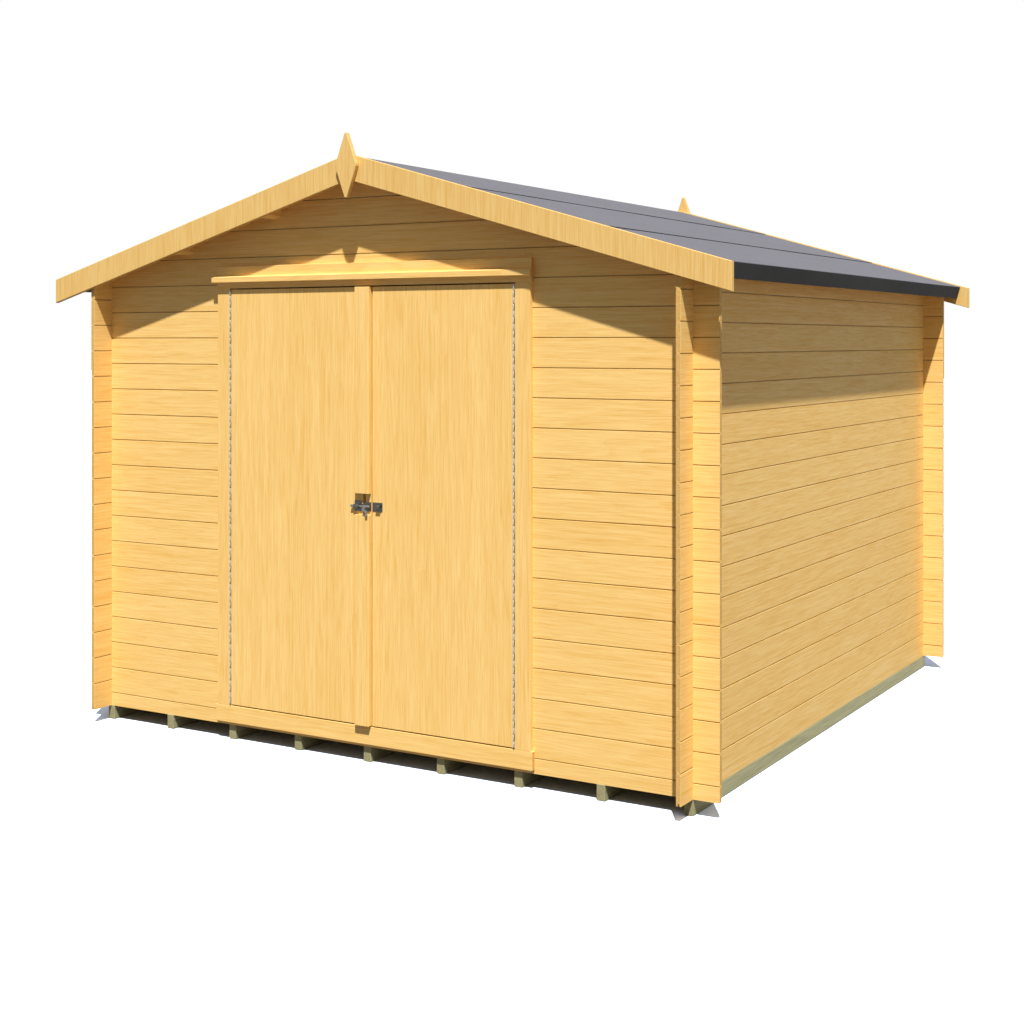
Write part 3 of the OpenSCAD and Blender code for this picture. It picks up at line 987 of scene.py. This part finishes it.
class CABIN_OT_felt(bpy.types.Operator):
    """Lays the felt in lapped sheets and folds it down at the eaves"""

    bl_idname = "cabin.felt"
    bl_label = "Roofing felt"

    def execute(self, context):
        t = 0.003
        lap, rise = 0.075, 0.012
        lap_1, lap_2 = 0.516, 1.133
        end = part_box("felt_lower")[1].x / math.cos(sizes().pitch)
        drop = 0.061
        shades = [
            felt_material("felt_face", colours().felt),
            felt_material("felt_bitumen", colours().felt_edge, 0.25),
        ]

        def stepped(u0, u1):
            return [
                (u0, -t), (u1 - lap - rise, -t), (u1 - lap, 0.0), (u1, 0.0),
                (u1, t), (u1 - lap, t), (u1 - lap - rise, 0.0), (u0, 0.0),
            ]

        fold = 0.004
        arc = [
            (end - fold + fold * math.sin(a), -fold + fold * math.cos(a))
            for a in (math.pi / 2, math.pi / 3, math.pi / 6, 0.0)
        ]
        folded = [
            (lap_2 - lap, -t), (end - t, -t), (end - t, -drop + t), (end - t - BOARD_T, -drop + t),
            (end - t - BOARD_T, -drop), (end - 0.002, -drop), (end, -drop + 0.002),
            *arc, (lap_2 - lap, 0.0),
        ]
        for name, node, outline, seed in (
            ("felt_cap", "felt_ridge", stepped(0.0, lap_1), 91),
            ("felt_centre", "felt_middle", stepped(lap_1 - lap, lap_2), 92),
            ("felt_eaves", "felt_lower", folded, 93),
        ):
            work = Joinery(seed)
            for side in (-1, 1):
                felt_sheet(work, outline, side, 10.0 * (seed - 91) + 1.0 + side)
            work.piece(name, CABIN, [node], shades, 0.1)
        return {"FINISHED"}


def both_ends(work, section, inner, ease):
    """The same board at the front and back of the roof, from inner outward."""
    for face in (-1, 1):
        work.choose()
        y0, y1 = sorted((face * inner, face * (inner + BOARD_T)))
        work.sweep(section, run_y, y0, y1, (ease, ease))


class CABIN_OT_bargeboards(bpy.types.Operator):
    """Fixes the bargeboards and the finials at both ends"""

    bl_idname = "cabin.bargeboards"
    bl_label = "Bargeboards and finials"

    def execute(self, context):
        slope = math.tan(sizes().pitch)
        ease = 0.0015
        depth = 0.101
        for name, node, side, seed in (
            ("barge_left", "bargeboards_left", -1, 101),
            ("barge_right", "bargeboards_right", 1, 102),
        ):
            work = Joinery(seed)
            out = BARGE_TOP - BARGE_X * slope
            section = [
                (side * MITRE_GAP, BARGE_TOP), (side * BARGE_X, out),
                (side * BARGE_X, out - depth), (side * MITRE_GAP, BARGE_TOP - depth),
            ]
            both_ends(work, section, ROOF_Y, ease)
            work.piece(name, CABIN, [node], [pine("Z", 0.0, 0.86)])
        low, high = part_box("finials")
        mid, half_w, half_h, tip = (low.z + high.z) / 2, high.x, (high.z - low.z) / 2, 0.005
        section = [
            (-tip, mid - half_h), (tip, mid - half_h), (half_w, mid - tip), (half_w, mid + tip),
            (tip, mid + half_h), (-tip, mid + half_h), (-half_w, mid + tip), (-half_w, mid - tip),
        ]
        work = Joinery(103)
        both_ends(work, section, ROOF_Y + BOARD_T, ease)
        work.piece("finial_boards", CABIN, ["finials"], [pine("Z", 0.0, 0.86)])
        return {"FINISHED"}


def leaf(name, body, side_nodes, seed):
    """One door leaf: upright boards in front, ledges and braces behind."""
    boards, ledges, braces = side_nodes
    low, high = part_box(boards)
    end = -0.006 if body == LEFT_DOOR else high.x
    count = round((end - low.x) / sizes().door_board)
    width = (end - low.x) / count
    work = Joinery(seed)
    for i in range(count):
        work.choose()
        x0, x1 = low.x + i * width, low.x + (i + 1) * width
        a0 = x0 if i == 0 else x0 + 0.00015
        a1 = x1 if i == count - 1 else x1 - 0.00015
        work.board((a0, a1, low.y, high.y), run_z, low.z, high.z, 0.0007, 0.001)
    if end < high.x:
        work.choose()
        rest = (end + JOINT_GAP, high.x, low.y, high.y)
        work.board(rest, run_z, low.z, high.z, 0.0007, 0.001)
    work.piece(f"{name}_boards_planed", body, [boards], [pine("Z")])
    work = Joinery(seed + 1)
    low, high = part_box(ledges)
    ledge_z = (low.z, low.z + LEDGE_RISE, high.z - LEDGE_DEPTH)
    for z in ledge_z:
        work.choose()
        work.board((low.y, high.y, z, z + LEDGE_DEPTH), run_x, low.x, high.x, 0.002)
    work.piece(f"{name}_ledges_planed", body, [ledges], [pine("X")])
    work = Joinery(seed + 2)
    low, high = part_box(braces)
    hinge_side, free_side = (low.x, high.x) if body == LEFT_DOOR else (high.x, low.x)
    step = 0.08 if free_side > hinge_side else -0.08
    for n in (0, 1):
        work.choose()
        foot, top = ledge_z[n] + LEDGE_DEPTH, ledge_z[n + 1]
        section = [
            (hinge_side, foot), (hinge_side + step, foot), (free_side, top), (free_side - step, top),
        ]
        work.sweep(section, run_y, low.y, high.y, (0.0015, 0.0015))
    work.piece(f"{name}_braces_planed", body, [braces], [pine("Z")])


class CABIN_OT_doors(bpy.types.Operator):
    """Builds both door leaves and the cover strip between them"""

    bl_idname = "cabin.doors"
    bl_label = "Door leaves"

    def execute(self, context):
        leaf("left", LEFT_DOOR, ("left_door_boards", "left_door_ledges", "left_door_braces"), 111)
        leaf("right", RIGHT_DOOR, ("right_door_boards", "right_door_ledges", "right_door_braces"), 121)
        low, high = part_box("cover_strip")
        work = Joinery(131)
        section = eased_rect(low.x, high.x, low.y, high.y, 0.002)
        for start, end in ((low.z, STRIP_NOTCH[0]), (STRIP_NOTCH[1], high.z)):
            work.sweep(section, run_z, start, end, (0.001, 0.001))
        work.piece("strip", LEFT_DOOR, ["cover_strip"], [pine("Z")])
        return {"FINISHED"}


class CABIN_OT_hinges(bpy.types.Operator):
    """Fits the full-height hinges"""

    bl_idname = "cabin.hinges"
    bl_label = "Hinges"

    def execute(self, context):
        steel = steel_material("zinc_plate", colours().zinc, metallic=0.2)
        for side, fixed, swung, body in (
            (-1, "frame_hinge_left", "left_door_hinge", LEFT_DOOR),
            (1, "frame_hinge_right", "right_door_hinge", RIGHT_DOOR),
        ):
            low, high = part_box(fixed)
            axis_x = (low.x + HINGE_R) if side > 0 else (high.x - HINGE_R)
            axis_y = low.y + HINGE_R
            count = round((high.z - low.z) / sizes().knuckle)
            count += 1 - count % 2
            pitch = (high.z - low.z) / count
            for node, start, rides, tag in ((fixed, 0, CABIN, "fixed"), (swung, 1, body, "swung")):
                a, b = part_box(node)
                work = Joinery(141)
                outward = (side > 0) == (tag == "fixed")
                plate_out = (b.x - FLANGE_T, b.x) if outward else (a.x, a.x + FLANGE_T)
                section = eased_rect(*plate_out, axis_y + 0.004, b.y, 0.0003)
                work.sweep(section, run_z, low.z, high.z)
                for n in range(start, count, 2):
                    z0 = low.z + n * pitch + 0.0003
                    z1 = low.z + (n + 1) * pitch - 0.0003
                    work.take(rod((axis_x, axis_y, z0), (axis_x, axis_y, z1), HINGE_R, 14, 0.0003))
                    beyond = plate_out[0] > axis_x
                    outer = plate_out[1] if beyond else plate_out[0]
                    x0, x1 = sorted((axis_x + (FLANGE_T if beyond else -FLANGE_T), outer))
                    web = eased_rect(x0, x1, axis_y + 0.0002, axis_y + 0.0052, 0.0003)
                    work.sweep(web, run_z, z0 + 0.0004, z1 - 0.0004)
                hand = "right" if side > 0 else "left"
                work.piece(f"hinge_{tag}_{hand}", rides, [node], [steel])
        return {"FINISHED"}


def softened(node, ease):
    """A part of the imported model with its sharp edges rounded."""
    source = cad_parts[node]
    bm = bmesh.new()
    bm.from_mesh(source.data)
    bm.transform(source.matrix_world)
    bmesh.ops.remove_doubles(bm, verts=bm.verts[:], dist=1e-6)
    sharp = [e for e in bm.edges if len(e.link_faces) == 2 and e.calc_face_angle(0.0) > 0.7]
    bmesh.ops.bevel(
        bm, geom=sharp, offset=ease, segments=2, profile=0.5, affect="EDGES", clamp_overlap=True
    )
    return bm


class CABIN_OT_bolt(bpy.types.Operator):
    """Finishes the sliding bolt, its guide and its keeper"""

    bl_idname = "cabin.bolt"
    bl_label = "Bolt"

    def execute(self, context):
        zinc = colours().zinc
        plate = steel_material("bolt_plate", [c * 0.20 for c in zinc], (60.0, 1.0, 1.0))
        bright = steel_material("bolt_rod", [c * 0.45 for c in zinc], (60.0, 1.0, 1.0))
        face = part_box("bolt_guide")[1].y - 0.002
        for name, node, body, metal, spots in (
            ("guide_plate", "bolt_guide", LEFT_DOOR, plate, (-0.040, -0.015, 0.986, 1.016)),
            ("sliding_rod", "bolt_bar", BOLT, bright, ()),
            ("keeper_plate", "bolt_keeper", RIGHT_DOOR, plate, (0.055, 0.082, 0.988, 1.013)),
        ):
            work = Joinery(151)
            work.take(softened(node, 0.0005))
            for x, z in product(spots[:2], spots[2:]):
                work.take(rod((x, face + 0.0005, z), (x, face - 0.0012, z), SCREW_R, 16, 0.0006))
            work.piece(name, body, [node], [metal])
        return {"FINISHED"}


class CABIN_OT_stage(bpy.types.Operator):
    """Sets the floor, the daylight and the camera"""

    bl_idname = "cabin.stage"
    bl_label = "Stage"

    def execute(self, context):
        scene = context.scene
        mesh = bpy.data.meshes.new("stage_floor")
        size = 60.0
        mesh.from_pydata(
            [(-size, -size, 0), (size, -size, 0), (size, size, 0), (-size, size, 0)], [], [(0, 1, 2, 3)]
        )
        floor = bpy.data.objects.new("stage_floor", mesh)
        scene.collection.objects.link(floor)
        mesh.materials.append(stage_material())
        world = bpy.data.worlds.new("daylight")
        scene.world = world
        world.use_nodes = True
        tree = world.node_tree
        tree.nodes.clear()
        path = tree.nodes.new("ShaderNodeLightPath")
        seen = seen_directly(tree, path)
        plain = filled(tree, "ShaderNodeBackground", Color=(1.0, 0.98, 0.95, 1.0), Strength=0.24)
        white = filled(tree, "ShaderNodeBackground", Color=(1.0, 1.0, 1.0, 1.0), Strength=1.0)
        mix = tree.nodes.new("ShaderNodeMixShader")
        out = tree.nodes.new("ShaderNodeOutputWorld")
        for out_of, into in (
            (seen, mix.inputs["Fac"]),
            (plain.outputs["Background"], mix.inputs[1]),
            (white.outputs["Background"], mix.inputs[2]),
            (mix.outputs["Shader"], out.inputs["Surface"]),
        ):
            tree.links.new(out_of, into)

        lamp = bpy.data.lights.new("sun", "SUN")
        lamp.energy = 6.1
        lamp.angle = math.radians(1.2)
        lamp.color = (1.0, 0.985, 0.955)
        sun = bpy.data.objects.new("sun", lamp)
        sun.rotation_euler = Vector((0.30, -0.49, 1.0)).to_track_quat("Z", "Y").to_euler()
        sun.location = (3.0, -5.0, 9.0)
        scene.collection.objects.link(sun)

        soft = bpy.data.lights.new("side_fill", "AREA")
        soft.shape = "RECTANGLE"
        soft.size, soft.size_y = 7.0, 4.0
        soft.energy = 46.0
        soft.color = (1.0, 0.88, 0.62)
        fill = bpy.data.objects.new("side_fill", soft)
        fill.location = (11.0, -1.0, 2.6)
        fill.rotation_euler = Vector((1.0, 0.0, 0.12)).to_track_quat("Z", "Y").to_euler()
        scene.collection.objects.link(fill)

        eye = bpy.data.cameras.new("camera")
        eye.sensor_width = 36.0
        eye.lens = 53.68
        eye.shift_x = -0.04766
        eye.shift_y = -0.16740
        eye.clip_end = 400.0
        camera = bpy.data.objects.new("camera", eye)
        camera.location = (3.6013, -6.2080, 1.6458)
        camera.rotation_euler = Euler((math.radians(90.0), 0.0, math.radians(29.577)))
        scene.collection.objects.link(camera)
        scene.camera = camera
        scene.view_settings.view_transform = "Standard"
        return {"FINISHED"}


def filled(tree, kind, **values):
    """Adds a node and sets its sockets."""
    node = tree.nodes.new(kind)
    for key, value in values.items():
        node.inputs[key].default_value = value
    return node


def seen_directly(tree, path):
    """1 where the camera, a reflection or a clear pane looks straight at the backdrop."""
    seen = path.outputs["Is Camera Ray"]
    for ray in ("Is Glossy Ray", "Is Transmission Ray"):
        either = tree.nodes.new("ShaderNodeMath")
        either.operation = "MAXIMUM"
        tree.links.new(seen, either.inputs[0])
        tree.links.new(path.outputs[ray], either.inputs[1])
        seen = either.outputs["Value"]
    return seen


def stage_material():
    """White ground that keeps the cabin's shadow and throws back little light; to the camera it also
    shows painted shade, darker where ambient occlusion finds the cabin close by, and a painted blue tint
    in its shadows.
    """
    material = bpy.data.materials.new("stage_white")
    material.use_nodes = True
    tree = material.node_tree
    tree.nodes.clear()
    path = tree.nodes.new("ShaderNodeLightPath")
    seen = seen_directly(tree, path)
    dull = filled(tree, "ShaderNodeBsdfDiffuse", Color=(0.10, 0.10, 0.10, 1.0))
    bright = tree.nodes.new("ShaderNodeBsdfDiffuse")
    # Painted shade for the camera: the occlusion value mixes a dark colour under and beside the cabin
    # with a bright blue one in the open, which the sun clips to white
    painted_shade_occlusion = filled(tree, "ShaderNodeAmbientOcclusion", Distance=0.5)
    painted_shade_occlusion.samples = 8
    shade = tree.nodes.new("ShaderNodeMapRange")
    shade.interpolation_type = "SMOOTHSTEP"
    shade.inputs["From Min"].default_value = 0.0
    shade.inputs["From Max"].default_value = 0.8
    looked_at = tree.nodes.new("ShaderNodeMath")
    looked_at.operation = "MULTIPLY"
    painted_shade_mix = tree.nodes.new("ShaderNodeMix")
    painted_shade_mix.data_type = "RGBA"
    near, far, painted_shade_colour = painted_shade_mix.inputs[6], painted_shade_mix.inputs[7], painted_shade_mix.outputs[2]
    near.default_value = (0.62, 0.66, 0.66, 1.0)
    far.default_value = (1.7, 2.1, 3.0, 1.0)
    mix = tree.nodes.new("ShaderNodeMixShader")
    out = tree.nodes.new("ShaderNodeOutputMaterial")
    for out_of, into in (
        (seen, mix.inputs["Fac"]),
        (dull.outputs["BSDF"], mix.inputs[1]),
        (painted_shade_occlusion.outputs["AO"], shade.inputs["Value"]),
        (shade.outputs["Result"], looked_at.inputs[0]),
        (path.outputs["Is Camera Ray"], looked_at.inputs[1]),
        (looked_at.outputs["Value"], painted_shade_mix.inputs["Factor"]),
        (painted_shade_colour, bright.inputs["Color"]),
        (bright.outputs["BSDF"], mix.inputs[2]),
        (mix.outputs["Shader"], out.inputs["Surface"]),
    ):
        tree.links.new(out_of, into)
    return material


BUILDERS = (
    CABIN_OT_bearers,
    CABIN_OT_floor,
    CABIN_OT_side_walls,
    CABIN_OT_front_wall,
    CABIN_OT_gables,
    CABIN_OT_back_wall,
    CABIN_OT_door_frame,
    CABIN_OT_purlins,
    CABIN_OT_roof_deck,
    CABIN_OT_felt,
    CABIN_OT_bargeboards,
    CABIN_OT_doors,
    CABIN_OT_hinges,
    CABIN_OT_bolt,
    CABIN_OT_stage,
)


class CABIN_PT_panel(bpy.types.Panel):
    """Lists the cabin's builders"""

    bl_idname = "CABIN_PT_panel"
    bl_label = "Log cabin"
    bl_space_type = "VIEW_3D"
    bl_region_type = "UI"
    bl_category = "Cabin"

    def draw(self, context):
        for group in (context.scene.cabin_sizes, context.scene.cabin_colours):
            for key in group.bl_rna.properties.keys():
                if key not in ("rna_type", "name"):
                    self.layout.prop(group, key)
        for builder in BUILDERS:
            self.layout.operator(builder.bl_idname)


CLASSES = (CabinSizes, CabinColours, *BUILDERS, CABIN_PT_panel)


def register():
    for cls in CLASSES:
        bpy.utils.register_class(cls)
    bpy.types.Scene.cabin_sizes = bpy.props.PointerProperty(type=CabinSizes)
    bpy.types.Scene.cabin_colours = bpy.props.PointerProperty(type=CabinColours)


def unregister():
    del bpy.types.Scene.cabin_colours
    del bpy.types.Scene.cabin_sizes
    for cls in reversed(CLASSES):
        bpy.utils.unregister_class(cls)


def main():
    register()
    for builder in BUILDERS:
        group, action = builder.bl_idname.split(".")
        getattr(getattr(bpy.ops, group), action)()


if __name__ == "__main__":
    main()
